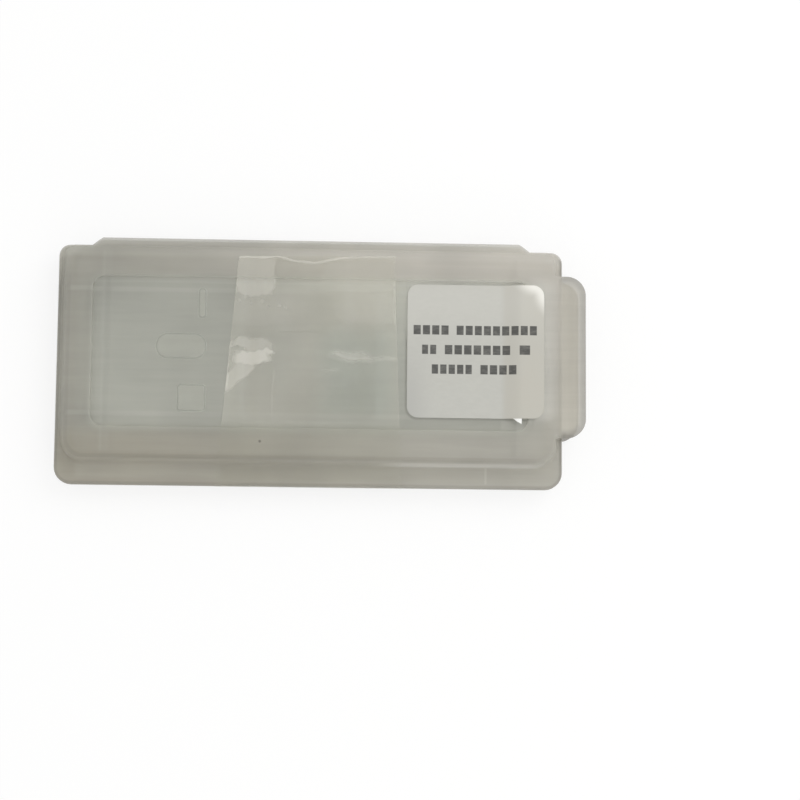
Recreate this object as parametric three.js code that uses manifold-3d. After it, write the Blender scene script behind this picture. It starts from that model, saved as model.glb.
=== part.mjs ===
// A flat hinged case for one microscope slide. It is shut, with the prepared slide inside,
// a paper label on its lid and a strip of clear tape that holds it closed.
//
// Millimetres, +Z up. X runs along the slide, with +X towards the thumb tabs. +Y is the
// hinge side and -Y the side that opens. The case lies on its base with the label up.
import * as THREE from 'three';
import { mergeVertices, toCreasedNormals } from 'three/addons/utils/BufferGeometryUtils.js';
import Module from 'manifold-3d';

const wasm = await Module();
wasm.setup();

// Driving dimensions.

// Glass slide
const slideLength = 76;
const slideWidth = 26;
const slideThickness = 1.1;
const slideGroundEdge = 0.15; // bevel ground along the slide's edges
const slideCornerRadius = 0.3;

// What is mounted on the slide
const coverSize = 22;
const coverThickness = 0.17;
const resinThickness = 0.14;
const resinMargin = 0.4; // the resin stops this far inside the cover glass's edge
const resinCornerRadius = 1.5;
const peelThickness = 0.08;
const peelLength = 9;
const peelWidth = 7;
const peelSpacing = 9.6; // between the middles of the two peels
const peelClearance = 0.3; // between a peel's edge and the resin round it
const peelWander = 0.07; // how far a torn edge wanders, as a share of the peel's radius
const peelFineWander = 0.04; // and how far its finer waves do

// Case halves, base and lid. Each is a shallow tray with a rim where the two meet.
const endClearance = 0.7; // between the slide's end and the end wall
const frontRoom = 3.6; // between the slide's long edge and the wall that opens
const hingeRoom = 3; // between the slide's other long edge and the hinge wall
const wall = 1.1;
const plate = 1; // thickness of each face
const halfHeight = 3.3; // from a half's outer face to its rim's meeting face
const partingGap = 0.2; // between the two rims when the case is shut
const wallLean = 0.3; // how far a wall leans out between face and rim
const faceEdgeRadius = 0.5;
const frontCornerRadius = 3.6; // of the face, on the side that opens
const hingeCornerRadius = 1.6; // of the face, on the hinge side

// Rim
const rimThickness = 0.9;
const rimEnd = 1.2; // how far the rim stands out from the face at the ends
const rimFront = 3.7; // and on the side that opens
const rimHinge = 0.45; // and on the hinge side
const rimFrontCornerRadius = 2.7;
const rimHingeCornerRadius = 1.8;
const rimEdgeRadius = 0.2;
const coveRadius = 0.5; // hollow fillet between wall and rim

// Recessed field in each face
const recessEndMargin = 4.6; // from the face's end to the recess
const recessInset = 0.8; // the recess stops this far inside the slide's long edges
const recessDepth = 0.8;
const recessCornerRadius = 1.9;
const recessEdgeRadius = 0.25;
const recessWall = 1.2; // wall round the recess, inside the case

// Thumb tabs, one on each half, flush with its face
const tabReach = 4.8; // beyond the face's end
const tabWidth = 26.4;
const tabThickness = 1.2;
const tabCornerRadius = 3.1;
const tabRootRadius = 0.8;
const lowerTabSetback = 0.5; // the base's tab is this much shorter than the lid's

// Living hinge, a thin web that bows out when the case is shut
const hingeEndInset = 4.1; // from the face's end to the web's end
const hingeReach = 1.45; // beyond the rim's hinge edge
const hingeThickness = 0.4;
const hingeBow = 0.85; // outer radius of the bow
const hingeEndSlope = 1.8; // the web's ends run in by this much

// Features inside
const slideLift = 0.6; // height of the rails over the recess's inner floor
const railInset = 2.9; // from the slide's long edge to a rail's middle
const railWidth = 1;
const guideLength = 10;
const guideStart = 20; // from the slide's middle to a guide's near end
const guideHeight = 0.8; // of a guide over the slide's underside
const guideThickness = 0.95;
const guideClearance = 0.35; // between a guide and the slide's long edge
const holdRibInset = 5; // from the slide's end to a cross rib's middle, in the lid
const holdRibWidth = 1;
const holdRibClearance = 0.3; // between a cross rib and the glass
const lipDepth = 0.7; // how far the lid's lip plugs into the base
const lipThickness = 0.5;
const lipClearance = 0.15;
const lipRoot = 0.35; // how far the lip's root runs into the wall
const beadRadius = 0.3; // snap bead on the front of the lip
const beadClearance = 0.12;
const beadLength = 60;

// Label on the lid
const labelLength = 22.2;
const labelHingeGap = 0.55; // from the recess's edge along the hinge to the label
const labelFrontGap = 2.05; // and from its edge on the side that opens
const labelThickness = 0.12;
const labelCornerRadius = 1.8;
const labelOverlap = 2.6; // how far the label runs past the recess's end
const labelRampStart = 4.6; // the label lifts off this far before the recess's end
const labelRampEnd = 0.9; // and has reached the face this far before it

// Tape
const tapeWidth = 25.4; // at its two ends
const tapeThickness = 0.08;
const tapeLabelGap = 2.1; // between the label and the tape's end on the lid
const tapeSpread = 3.4; // at the front the edge away from the tabs stands out this much more
const tapeTabSpread = 1.4; // and the edge towards the tabs this much
const tapeEndInset = 1.4; // from the face's hinge edge to the tape's end
const tapeRamp = 3; // the tape bridges this far from each recess edge
const tapeStandOff = 0.1; // between the taut tape and the edges that it passes round

// Sizes that follow from those above.
const faceLength = slideLength + 2 * (endClearance + wall);
const faceFront = -(slideWidth / 2 + frontRoom + wall); // Y of the face's edge that opens
const faceHinge = slideWidth / 2 + hingeRoom + wall; // Y of its edge along the hinge
const caseThickness = 2 * halfHeight + partingGap;
const mid = caseThickness / 2;
const rimTop = partingGap / 2 + rimThickness; // above the meeting plane
const innerFace = mid - plate;
const recessFloor = mid - recessDepth;
const bossFace = innerFace - recessDepth;
const recessLength = faceLength - 2 * recessEndMargin;
const recessWidth = slideWidth - 2 * recessInset;
const labelEnd = recessLength / 2 + labelOverlap;
const labelStart = labelEnd - labelLength;
const slideBottom = plate + recessDepth + slideLift;
const slideTop = slideBottom + slideThickness;

// How finely curves are divided, and how far a cutting tool runs past what it cuts.
const cornerSteps = 7;
const filletSteps = 3;
const smallCornerSteps = 3;
const beadSides = 12;
const bowSteps = 12;
const peelPoints = 28;
const labelRampSteps = 8;
const weldDistance = 1e-5; // corners closer than this are one
const creaseAngle = 32; // degrees; a sharper edge is drawn as a crease
const through = 1;

// General shapes.

// A closed mesh from positions and triangles, turned so that its faces point out.
function closedGeometry(positions, triangles) {
  let volume = 0;
  const a = new THREE.Vector3();
  const b = new THREE.Vector3();
  const c = new THREE.Vector3();
  for (const [i, j, k] of triangles) {
    a.fromArray(positions, 3 * i);
    b.fromArray(positions, 3 * j);
    c.fromArray(positions, 3 * k);
    volume += a.dot(b.cross(c));
  }
  const turned = volume < 0 ? triangles.map(([i, j, k]) => [i, k, j]) : triangles;
  const geometry = new THREE.BufferGeometry();
  geometry.setAttribute('position', new THREE.Float32BufferAttribute(positions, 3));
  geometry.setIndex(turned.flat());
  return geometry;
}

// A loft through level outlines that all have the same number of points.
function stack(levels) {
  const count = levels[0].outline.length;
  const positions = levels.flatMap(({ z, outline }) => outline.flatMap((p) => [p.x, p.y, z]));
  const triangles = [];
  for (let level = 0; level + 1 < levels.length; level += 1) {
    for (let i = 0; i < count; i += 1) {
      const here = level * count + i;
      const next = level * count + ((i + 1) % count);
      triangles.push([here, next, next + count], [here, next + count, here + count]);
    }
  }
  const last = (levels.length - 1) * count;
  const firstCap = THREE.ShapeUtils.triangulateShape(levels[0].outline, []);
  const lastCap = THREE.ShapeUtils.triangulateShape(levels[levels.length - 1].outline, []);
  firstCap.forEach(([i, j, k]) => triangles.push([i, k, j]));
  lastCap.forEach(([i, j, k]) => triangles.push([last + i, last + j, last + k]));
  return closedGeometry(positions, triangles);
}

// A rectangle with rounded corners, anticlockwise. radii has one value for the two corners
// at low Y and one for the two at high Y.
function roundedRectangle(x0, x1, y0, y1, radii, steps = cornerSteps) {
  const low = radii.low ?? radii;
  const high = radii.high ?? radii;
  const corners = [
    [x1 - low, y0 + low, low, -Math.PI / 2],
    [x1 - high, y1 - high, high, 0],
    [x0 + high, y1 - high, high, Math.PI / 2],
    [x0 + low, y0 + low, low, Math.PI],
  ];
  const points = [];
  for (const [cx, cy, radius, start] of corners) {
    for (let i = 0; i <= steps; i += 1) {
      const angle = start + (i / steps) * (Math.PI / 2);
      points.push(new THREE.Vector2(cx + radius * Math.cos(angle), cy + radius * Math.sin(angle)));
    }
  }
  return points;
}

function box(x0, x1, y0, y1, z0, z1) {
  const geometry = new THREE.BoxGeometry(x1 - x0, y1 - y0, z1 - z0);
  return geometry.translate((x0 + x1) / 2, (y0 + y1) / 2, (z0 + z1) / 2);
}

// Distance from a path's start to each of its points.
function lengthsAlong(path) {
  const lengths = [0];
  for (let i = 1; i < path.length; i += 1) {
    lengths.push(lengths[i - 1] + path[i].distanceTo(path[i - 1]));
  }
  return lengths;
}

// A band that follows a path, with its inner side on the path. edges(length) gives its two
// edges at a distance along the path, and place(a, z, w) gives the point in space.
function band(path, thickness, edges, place) {
  const lengths = lengthsAlong(path);
  const directions = path.slice(1).map((p, i) => p.clone().sub(path[i]).normalize());
  const outer = path.map((p, i) => {
    const before = directions[Math.max(i - 1, 0)];
    const after = directions[Math.min(i, directions.length - 1)];
    const normal = new THREE.Vector2(-before.y - after.y, before.x + after.x).normalize();
    const square = new THREE.Vector2(-after.y, after.x);
    return p.clone().addScaledVector(normal, thickness / normal.dot(square));
  });
  const positions = [];
  path.forEach((p, i) => {
    const [low, high] = edges(lengths[i]);
    positions.push(...place(p.x, p.y, low), ...place(p.x, p.y, high));
    positions.push(...place(outer[i].x, outer[i].y, high), ...place(outer[i].x, outer[i].y, low));
  });
  const triangles = [[0, 1, 2], [0, 2, 3]];
  for (let i = 0; i + 1 < path.length; i += 1) {
    for (let j = 0; j < 4; j += 1) {
      const here = 4 * i + j;
      const next = 4 * i + ((j + 1) % 4);
      triangles.push([here, here + 4, next + 4], [here, next + 4, next]);
    }
  }
  const end = 4 * (path.length - 1);
  triangles.push([end, end + 2, end + 1], [end, end + 3, end + 2]);
  return closedGeometry(positions, triangles);
}

// Joining and cutting.

function toSolid(geometry) {
  const bare = geometry.clone();
  bare.deleteAttribute('normal');
  bare.deleteAttribute('uv');
  const merged = mergeVertices(bare, weldDistance);
  return new wasm.Manifold(new wasm.Mesh({
    numProp: 3,
    vertProperties: new Float32Array(merged.attributes.position.array),
    triVerts: new Uint32Array(merged.index.array),
  }));
}

function toGeometry(solid) {
  const { vertProperties, triVerts } = solid.getMesh();
  const geometry = new THREE.BufferGeometry();
  geometry.setAttribute('position', new THREE.BufferAttribute(new Float32Array(vertProperties), 3));
  geometry.setIndex(new THREE.BufferAttribute(new Uint32Array(triVerts), 1));
  return geometry;
}

const joined = (...geometries) => geometries.map(toSolid).reduce((sum, next) => sum.add(next));

// The case.

// Outline of a half's face, spread outwards by the given amount.
function faceOutline(spread, hingeSpread = spread) {
  return roundedRectangle(
    -faceLength / 2 - spread,
    faceLength / 2 + spread,
    faceFront - spread,
    faceHinge + hingeSpread,
    { low: frontCornerRadius + spread, high: hingeCornerRadius + hingeSpread },
  );
}

function recessOutline(spread) {
  const radius = recessCornerRadius + spread;
  const halfLength = recessLength / 2 + spread;
  const halfWidth = recessWidth / 2 + spread;
  return roundedRectangle(-halfLength, halfLength, -halfWidth, halfWidth, radius);
}

// How far the wall has leant out at a height above the meeting plane.
const leanAt = (height) => wallLean * (1 - height / mid);

// Tray of one half: rounded face edge, leaning wall and cove down to the rim.
function trayGeometry(level) {
  const levels = [];
  for (let i = 0; i <= filletSteps; i += 1) {
    const angle = (i / filletSteps) * (Math.PI / 2);
    const height = mid - faceEdgeRadius * (1 - Math.cos(angle));
    levels.push({ z: level(height), outline: faceOutline(faceEdgeRadius * (Math.sin(angle) - 1)) });
  }
  const coveTop = rimTop + coveRadius;
  for (let i = 0; i <= filletSteps; i += 1) {
    const angle = (i / filletSteps) * (Math.PI / 2);
    const spread = leanAt(coveTop) + coveRadius * (1 - Math.cos(angle));
    const outline = faceOutline(spread, Math.min(spread, rimHinge));
    levels.push({ z: level(coveTop - coveRadius * Math.sin(angle)), outline });
  }
  const foot = levels[levels.length - 1].outline;
  levels.push({ z: level(partingGap / 2), outline: foot });
  return stack(levels);
}

function rimGeometry(level) {
  const outline = (inset) => roundedRectangle(
    -faceLength / 2 - rimEnd + inset,
    faceLength / 2 + rimEnd - inset,
    faceFront - rimFront + inset,
    faceHinge + rimHinge - inset,
    { low: rimFrontCornerRadius - inset, high: rimHingeCornerRadius - inset },
  );
  const levels = [{ z: level(partingGap / 2), outline: outline(0) }];
  for (let i = 0; i <= filletSteps; i += 1) {
    const angle = (i / filletSteps) * (Math.PI / 2);
    const height = rimTop - rimEdgeRadius * (1 - Math.sin(angle));
    levels.push({ z: level(height), outline: outline(rimEdgeRadius * (1 - Math.cos(angle))) });
  }
  return stack(levels);
}

// Thumb tab: a rounded leaf flush with the face, with hollow corners at its root, and the
// end wall brought out under it as far as the rim.
function tabGeometries(level, setback) {
  const root = faceLength / 2 - faceEdgeRadius - through;
  const end = faceLength / 2 + tabReach - setback;
  const half = tabWidth / 2;
  const leaf = new THREE.Shape();
  const hollow = faceLength / 2 - faceEdgeRadius + tabRootRadius;
  leaf.moveTo(root, -half - tabRootRadius);
  leaf.lineTo(hollow - tabRootRadius, -half - tabRootRadius);
  leaf.absarc(hollow, -half - tabRootRadius, tabRootRadius, Math.PI, Math.PI / 2, true);
  leaf.lineTo(end - tabCornerRadius, -half);
  leaf.absarc(end - tabCornerRadius, -half + tabCornerRadius, tabCornerRadius, -Math.PI / 2, 0);
  leaf.absarc(end - tabCornerRadius, half - tabCornerRadius, tabCornerRadius, 0, Math.PI / 2);
  leaf.lineTo(hollow, half);
  leaf.absarc(hollow, half + tabRootRadius, tabRootRadius, -Math.PI / 2, -Math.PI, true);
  leaf.lineTo(root, half + tabRootRadius);
  const outline = leaf.extractPoints(cornerSteps).shape;
  const plateUnderThumb = stack([{ z: level(mid - tabThickness), outline }, { z: level(mid), outline }]);
  const wallEnd = faceLength / 2 + rimEnd - rimEdgeRadius;
  const heights = [level(rimTop - rimEdgeRadius), level(mid - tabThickness / 2)];
  return [plateUnderThumb, box(root, wallEnd, -half, half, Math.min(...heights), Math.max(...heights))];
}

// The hollow inside one half: the tray's inside, less the back of the recess.
function cavitySolid(level) {
  const inside = stack([
    { z: level(0), outline: faceOutline(leanAt(0) - wall) },
    { z: level(innerFace), outline: faceOutline(leanAt(innerFace) - wall) },
  ]);
  const back = stack([
    { z: level(bossFace), outline: recessOutline(recessWall) },
    { z: level(mid), outline: recessOutline(recessWall) },
  ]);
  return toSolid(inside).subtract(toSolid(back));
}

// The recess cut into a face, with a softened edge.
function recessGeometry(level) {
  const levels = [{ z: level(recessFloor), outline: recessOutline(0) }];
  for (let i = 0; i <= filletSteps; i += 1) {
    const angle = (i / filletSteps) * (Math.PI / 2);
    const height = mid - recessEdgeRadius * (1 - Math.sin(angle));
    levels.push({ z: level(height), outline: recessOutline(recessEdgeRadius * (1 - Math.cos(angle))) });
  }
  levels.push({ z: level(mid + through), outline: recessOutline(recessEdgeRadius) });
  return stack(levels);
}

// One half. Its inner features reach into the plate, so the recess is cut last.
function halfSolid(side, tabSetback, features) {
  const level = (height) => mid + side * height;
  return joined(trayGeometry(level), rimGeometry(level), ...tabGeometries(level, tabSetback))
    .subtract(cavitySolid(level))
    .add(features)
    .subtract(toSolid(recessGeometry(level)));
}

// Rails that carry the slide, and guides that keep it from moving sideways.
function baseFeatures() {
  const railEnd = faceLength / 2 - wall / 2;
  const railY = slideWidth / 2 - railInset;
  const guideY = slideWidth / 2 + guideClearance;
  const embedded = plate / 2;
  const pieces = [];
  for (const side of [-1, 1]) {
    const y = side * railY;
    pieces.push(box(-railEnd, railEnd, y - railWidth / 2, y + railWidth / 2, embedded, slideBottom));
    const [y0, y1] = [side * guideY, side * (guideY + guideThickness)].sort((a, b) => a - b);
    for (const end of [-1, 1]) {
      const [x0, x1] = [end * guideStart, end * (guideStart + guideLength)].sort((a, b) => a - b);
      pieces.push(box(x0, x1, y0, y1, embedded, slideBottom + guideHeight));
    }
  }
  return joined(...pieces);
}

// Cross ribs that hold the slide down at both ends.
function lidFeatures() {
  const [front, back] = [faceFront + wall / 2, faceHinge - wall / 2];
  const [low, high] = [slideTop + holdRibClearance, caseThickness - plate / 2];
  const offset = slideLength / 2 - holdRibInset;
  const ribs = [-offset, offset].map((x) => (
    box(x - holdRibWidth / 2, x + holdRibWidth / 2, front, back, low, high)
  ));
  return joined(...ribs);
}

// The lid's lip, a thin ring that plugs into the base.
function lipSolid() {
  // The inner wall's outline at a height, drawn in by an inset.
  const inside = (z, inset) => ({ z, outline: faceOutline(leanAt(Math.abs(z - mid)) - wall - inset) });
  const between = (z0, z1, inset) => toSolid(stack([inside(z0, inset), inside(z1, inset)]));
  const plug = between(mid - lipDepth, mid + partingGap, lipClearance);
  const root = between(mid + partingGap / 2, mid + lipDepth, -lipRoot);
  const hollow = between(mid - lipDepth - through, mid + lipDepth + through, lipClearance + lipThickness);
  return plug.add(root).subtract(hollow);
}

// A rod along X on the front of the lip, for the snap bead and its groove.
function beadRod(radius, length) {
  const rod = new THREE.CylinderGeometry(radius, radius, length, beadSides);
  const y = faceFront + wall - wallLean + lipClearance;
  return rod.rotateZ(Math.PI / 2).translate(0, y + beadRadius / 2, mid - lipDepth / 2);
}

// The hinge web: a U that joins the two rims, extruded along X, with sloping ends.
function hingeSolid() {
  const rimEdge = faceHinge + rimHinge;
  const start = rimEdge - rimEdgeRadius - hingeThickness;
  const centre = rimEdge + hingeReach - hingeBow;
  const inner = hingeBow - hingeThickness;
  const web = new THREE.Shape();
  web.moveTo(start, -hingeBow);
  web.lineTo(centre, -hingeBow);
  web.absarc(centre, 0, hingeBow, -Math.PI / 2, Math.PI / 2);
  web.lineTo(start, hingeBow);
  web.lineTo(start, inner);
  web.lineTo(centre, inner);
  web.absarc(centre, 0, inner, Math.PI / 2, -Math.PI / 2, true);
  web.lineTo(start, -inner);
  const hingeLength = faceLength - 2 * hingeEndInset;
  const settings = { depth: hingeLength, bevelEnabled: false, curveSegments: bowSteps };
  const bow = new THREE.ExtrudeGeometry(web, settings);
  // The shape's X and Y become Y and Z, and the extrusion runs along X.
  bow.applyMatrix4(new THREE.Matrix4().makeBasis(
    new THREE.Vector3(0, 1, 0), new THREE.Vector3(0, 0, 1), new THREE.Vector3(1, 0, 0),
  ));
  bow.translate(-hingeLength / 2, 0, mid);
  const far = rimEdge + hingeReach;
  const run = hingeLength / 2;
  const plan = [
    new THREE.Vector2(-run, start),
    new THREE.Vector2(run, start),
    new THREE.Vector2(run, rimEdge),
    new THREE.Vector2(run - hingeEndSlope, far),
    new THREE.Vector2(-run + hingeEndSlope, far),
    new THREE.Vector2(-run, rimEdge),
  ];
  const trimmed = stack([{ z: 0, outline: plan }, { z: caseThickness, outline: plan }]);
  return toSolid(bow).intersect(toSolid(trimmed));
}

function caseGeometry() {
  const groove = toSolid(beadRod(beadRadius + beadClearance, beadLength + 2 * beadClearance));
  const base = halfSolid(-1, lowerTabSetback, baseFeatures()).subtract(groove);
  // The bead stays below the rim and inside the lip's inner side.
  const lipInside = faceFront + wall + lipThickness + lipClearance;
  const beadRoom = toSolid(box(-beadLength, beadLength, faceFront, lipInside, mid - lipDepth, mid));
  const bead = toSolid(beadRod(beadRadius, beadLength)).intersect(beadRoom);
  const lid = halfSolid(1, 0, lidFeatures()).add(lipSolid()).add(bead);
  return toGeometry(base.add(lid).add(hingeSolid()));
}

// The prepared slide.

function slideGeometry() {
  const outline = (inset) => roundedRectangle(
    -slideLength / 2 + inset,
    slideLength / 2 - inset,
    -slideWidth / 2 + inset,
    slideWidth / 2 - inset,
    slideCornerRadius - inset,
    smallCornerSteps,
  );
  return stack([
    { z: slideBottom, outline: outline(slideGroundEdge) },
    { z: slideBottom + slideGroundEdge, outline: outline(0) },
    { z: slideTop - slideGroundEdge, outline: outline(0) },
    { z: slideTop, outline: outline(slideGroundEdge) },
  ]);
}

// A torn patch of leaf skin: an oval whose edge wanders in and out.
function peelOutline(centreX, waves, phase, spread) {
  const points = [];
  for (let i = 0; i < peelPoints; i += 1) {
    const angle = (i / peelPoints) * 2 * Math.PI;
    const wander = peelWander * Math.sin(waves * angle + phase);
    const fineWander = peelFineWander * Math.sin((waves + 4) * angle);
    const reach = 1 + wander + fineWander;
    points.push(new THREE.Vector2(
      centreX + (peelWidth / 2 + spread) * reach * Math.cos(angle),
      (peelLength / 2 + spread) * reach * Math.sin(angle),
    ));
  }
  return points;
}

const peels = {
  monocot_epidermis: { centre: -peelSpacing / 2, waves: 3, phase: 0.4 },
  dicot_epidermis: { centre: peelSpacing / 2, waves: 4, phase: 2.1 },
};

function peelGeometry({ centre, waves, phase }) {
  const outline = peelOutline(centre, waves, phase, 0);
  return stack([{ z: slideTop, outline }, { z: slideTop + peelThickness, outline }]);
}

// The resin under the cover glass, with a window for each peel.
function resinGeometry() {
  const half = coverSize / 2 - resinMargin;
  const outline = roundedRectangle(-half, half, -half, half, resinCornerRadius, smallCornerSteps);
  const sheet = new THREE.Shape(outline);
  for (const { centre, waves, phase } of Object.values(peels)) {
    sheet.holes.push(new THREE.Path(peelOutline(centre, waves, phase, peelClearance)));
  }
  const settings = { depth: resinThickness, bevelEnabled: false };
  return new THREE.ExtrudeGeometry(sheet, settings).translate(0, 0, slideTop);
}

function coverGeometry() {
  const half = coverSize / 2;
  const low = slideTop + resinThickness;
  return box(-half, half, -half, half, low, low + coverThickness);
}

// Label and tape.

// The label lies in the recess, lifts off before its end and lies on the face beyond it.
function labelGeometry() {
  const edge = recessLength / 2;
  const low = caseThickness - recessDepth;
  const rampStart = edge - labelRampStart;
  const rampEnd = edge - labelRampEnd;
  const path = [new THREE.Vector2(labelStart, low)];
  for (let i = 0; i <= labelRampSteps; i += 1) {
    const part = i / labelRampSteps;
    const rise = recessDepth * part * part * (3 - 2 * part);
    path.push(new THREE.Vector2(rampStart + (rampEnd - rampStart) * part, low + rise));
  }
  path.push(new THREE.Vector2(labelEnd, caseThickness));
  const edges = [labelFrontGap - recessWidth / 2, recessWidth / 2 - labelHingeGap];
  const sheet = band(path, labelThickness, () => edges, (x, z, y) => [x, y, z]);
  const outline = roundedRectangle(labelStart, labelEnd, ...edges, labelCornerRadius);
  const cutter = stack([{ z: 0, outline }, { z: caseThickness + through, outline }]);
  return toGeometry(toSolid(sheet).intersect(toSolid(cutter)));
}

// The tape's path in the YZ plane over the lid, from its end near the hinge to the
// meeting plane at the front.
function tapePathOverLid() {
  const face = caseThickness;
  const recessEdge = recessWidth / 2 - recessEdgeRadius;
  const path = [
    [faceHinge - tapeEndInset, face],
    [recessEdge, face],
    [recessEdge - tapeRamp, face - recessDepth],
    [tapeRamp - recessEdge, face - recessDepth],
    [-recessEdge, face],
    [faceFront + faceEdgeRadius, face],
  ];
  // Round the face's front edge, a little off it and never above the face.
  const bend = faceEdgeRadius + tapeStandOff;
  const firstTurn = Math.acos(faceEdgeRadius / bend);
  const lastTurn = Math.PI / 3;
  for (let i = 0; i <= filletSteps; i += 1) {
    const turn = firstTurn + (lastTurn - firstTurn) * (i / filletSteps);
    path.push([
      faceFront + faceEdgeRadius - bend * Math.sin(turn),
      face - faceEdgeRadius + bend * Math.cos(turn),
    ]);
  }
  // Straight down to the rim's edge and round it.
  const rimY = faceFront - rimFront;
  path.push([rimY + rimEdgeRadius, mid + rimTop + tapeStandOff]);
  path.push([rimY - tapeStandOff, mid + rimTop - rimEdgeRadius]);
  return path.map(([y, z]) => new THREE.Vector2(y, z));
}

// The tape spreads out from its two ends to the front, which is halfway along it.
function tapeGeometry() {
  const over = tapePathOverLid();
  const under = over.map((p) => new THREE.Vector2(p.x, caseThickness - p.y)).reverse();
  const path = [...over, ...under].reverse();
  const half = lengthsAlong(path).pop() / 2;
  const tabEdge = labelStart - tapeLabelGap;
  const edges = (length) => {
    const towardsFront = 1 - Math.abs(length - half) / half;
    return [tabEdge - tapeWidth - tapeSpread * towardsFront, tabEdge + tapeTabSpread * towardsFront];
  };
  return band(path, tapeThickness, edges, (y, z, x) => [x, y, z]);
}

// Colours and the finished group.

const finishes = {
  polypropylene: { color: 0xd8d6cc, roughness: 0.38, metalness: 0, transparent: true, opacity: 0.6 },
  glass: { color: 0xe2efe9, roughness: 0.05, metalness: 0, transparent: true, opacity: 0.35 },
  coverGlass: { color: 0xeef6f4, roughness: 0.04, metalness: 0, transparent: true, opacity: 0.3 },
  resin: { color: 0xf2e6bd, roughness: 0.15, metalness: 0, transparent: true, opacity: 0.4 },
  monocotSkin: { color: 0x9fb98b, roughness: 0.6, metalness: 0 },
  dicotSkin: { color: 0x86a87a, roughness: 0.6, metalness: 0 },
  paper: { color: 0xeeeeea, roughness: 0.55, metalness: 0 },
  tapeFilm: { color: 0xf1efe4, roughness: 0.12, metalness: 0, transparent: true, opacity: 0.35 },
};

const group = new THREE.Group();

function addPiece(name, geometry, finish) {
  const creased = toCreasedNormals(geometry, THREE.MathUtils.degToRad(creaseAngle));
  const mesh = new THREE.Mesh(creased, new THREE.MeshStandardMaterial(finishes[finish]));
  mesh.name = name;
  group.add(mesh);
}

addPiece('slide_case', caseGeometry(), 'polypropylene');
addPiece('glass_slide', slideGeometry(), 'glass');
addPiece('mounting_resin', resinGeometry(), 'resin');
addPiece('monocot_epidermis', peelGeometry(peels.monocot_epidermis), 'monocotSkin');
addPiece('dicot_epidermis', peelGeometry(peels.dicot_epidermis), 'dicotSkin');
addPiece('cover_glass', coverGeometry(), 'coverGlass');
addPiece('case_label', labelGeometry(), 'paper');
addPiece('tape_strip', tapeGeometry(), 'tapeFilm');

// The origin is the middle of the whole part's outline, on the surface that it lies on.
const outer = new THREE.Box3().setFromObject(group);
const middle = outer.getCenter(new THREE.Vector3());
group.position.set(-middle.x, -middle.y, -outer.min.z);
group.updateMatrixWorld(true);

export default group;
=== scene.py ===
# Looks for a flat hinged case with a prepared microscope slide inside. Lengths are in metres.
import bpy
import numpy as np
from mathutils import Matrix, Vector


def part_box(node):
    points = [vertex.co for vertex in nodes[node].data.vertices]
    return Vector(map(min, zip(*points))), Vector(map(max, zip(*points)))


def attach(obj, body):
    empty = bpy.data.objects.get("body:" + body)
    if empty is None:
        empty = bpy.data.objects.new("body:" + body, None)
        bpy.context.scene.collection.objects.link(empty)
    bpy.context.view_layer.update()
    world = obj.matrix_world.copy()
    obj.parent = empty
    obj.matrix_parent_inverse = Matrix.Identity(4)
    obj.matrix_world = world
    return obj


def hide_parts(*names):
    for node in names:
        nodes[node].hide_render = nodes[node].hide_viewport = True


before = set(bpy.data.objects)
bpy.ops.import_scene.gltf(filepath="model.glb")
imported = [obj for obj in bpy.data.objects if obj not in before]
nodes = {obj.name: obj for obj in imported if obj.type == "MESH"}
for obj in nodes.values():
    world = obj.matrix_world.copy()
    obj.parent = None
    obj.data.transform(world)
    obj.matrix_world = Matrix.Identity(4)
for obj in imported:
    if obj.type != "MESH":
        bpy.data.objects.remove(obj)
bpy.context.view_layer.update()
mm = 0.001

caseLow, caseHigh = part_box("slide_case")
labelLow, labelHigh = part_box("case_label")
tapeLow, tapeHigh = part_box("tape_strip")
slideLow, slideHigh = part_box("glass_slide")
slideMiddle = (slideLow + slideHigh) / 2
labelMiddle = (labelLow + labelHigh) / 2
labelCorner = 1.8 * mm  # radius
faceTop = caseHigh.z  # the lid's face
fieldFloor = labelLow.z  # the floor of the recessed field in the lid
fieldLow = (slideLow.x + 2.8 * mm, slideLow.y + 0.8 * mm)  # the field's outline
fieldHigh = (slideHigh.x - 2.8 * mm, slideHigh.y - 0.8 * mm)
rimEnd = caseHigh.x - 3.6 * mm  # where the tabs grow out of the rim
tabLow = (caseHigh.x - 12 * mm, slideLow.y - 0.2 * mm)  # the lid's tab, which starts under the rim
tabHigh = (caseHigh.x, slideHigh.y + 0.2 * mm)
print("frame loaded, case", [round(v * 1000, 2) for v in caseHigh - caseLow], "mm")


# Small helpers for node trees. A value or a colour goes straight to its socket, an output is linked,
# and a new node gives its outputs.
def setInputs(node, inputs):
    for name, value in dict(inputs).items():
        if isinstance(value, bpy.types.NodeSocket):
            node.id_data.links.new(value, node.inputs[name])
        else:
            node.inputs[name].default_value = value


def addNode(tree, kind, inputs=(), **settings):
    node = tree.nodes.new("ShaderNode" + kind)
    for name, value in settings.items():
        setattr(node, name, value)
    setInputs(node, inputs)
    return node.outputs


def calc(tree, operation, *values):
    return addNode(tree, "Math", dict(enumerate(values)), operation=operation)[0]


def product(tree, first, *others):
    for other in others:
        first = calc(tree, "MULTIPLY", first, other)
    return first


def awayFrom(tree, value, middle):
    return calc(tree, "ABSOLUTE", calc(tree, "SUBTRACT", value, middle))


def ramp(tree, value, low, high, toLow=0, toHigh=1):
    # A smooth step from toLow to toHigh as the value goes from low to high.
    inputs = {"Value": value, "From Min": low, "From Max": high, "To Min": toLow, "To Max": toHigh}
    return addNode(tree, "MapRange", inputs, interpolation_type="SMOOTHSTEP")[0]


def vary(tree, pattern, toLow=0, toHigh=1, low=0.3, high=0.7):
    # Spreads the middle of a noise pattern's range over the two values.
    return ramp(tree, pattern, low, high, toLow, toHigh)


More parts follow.
